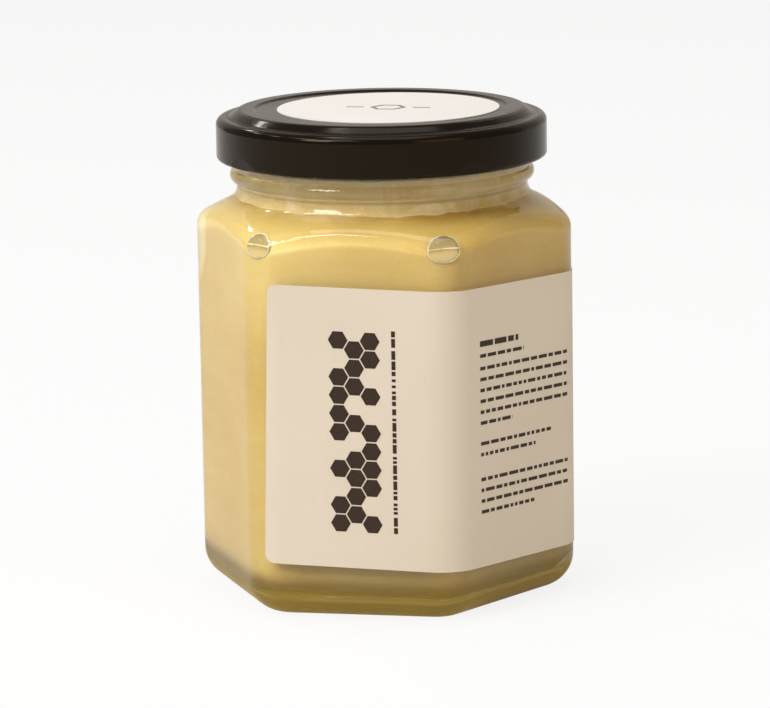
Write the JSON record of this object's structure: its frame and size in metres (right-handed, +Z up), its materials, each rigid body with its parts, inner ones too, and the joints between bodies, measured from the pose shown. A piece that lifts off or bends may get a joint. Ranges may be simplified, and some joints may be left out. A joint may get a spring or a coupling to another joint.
{
  "type": "jar of creamed honey",
  "caption": "Six-sided glass jar of pale creamed honey with a twist-off metal lid, a wrapped paper label and a round paper seal.",
  "frame": {"origin": "middle of the base, on the surface that the jar stands on", "axes": "+Z up along the jar's axis; -Y is the outward normal of the face with the label's first panel"},
  "size_m": [0.0703, 0.0633, 0.0899],
  "materials": {
    "glass": "clear flint glass, glossy",
    "honey": "pale creamed honey, opaque, satin",
    "froth": "pale froth on top of the honey, mottled, satin",
    "lid_enamel": "black enamel on tinplate, glossy",
    "label_paper": "uncoated cream paper",
    "sticker_paper": "white coated paper, satin",
    "print": "dark brown ink, matt"
  },
  "bodies": {
    "root": {"glass_jar": "glass", "honey": "honey", "froth": "froth", "lid": "lid_enamel", "label": "label_paper", "lid_sticker": "sticker_paper"}
  },
  "joints": []
}
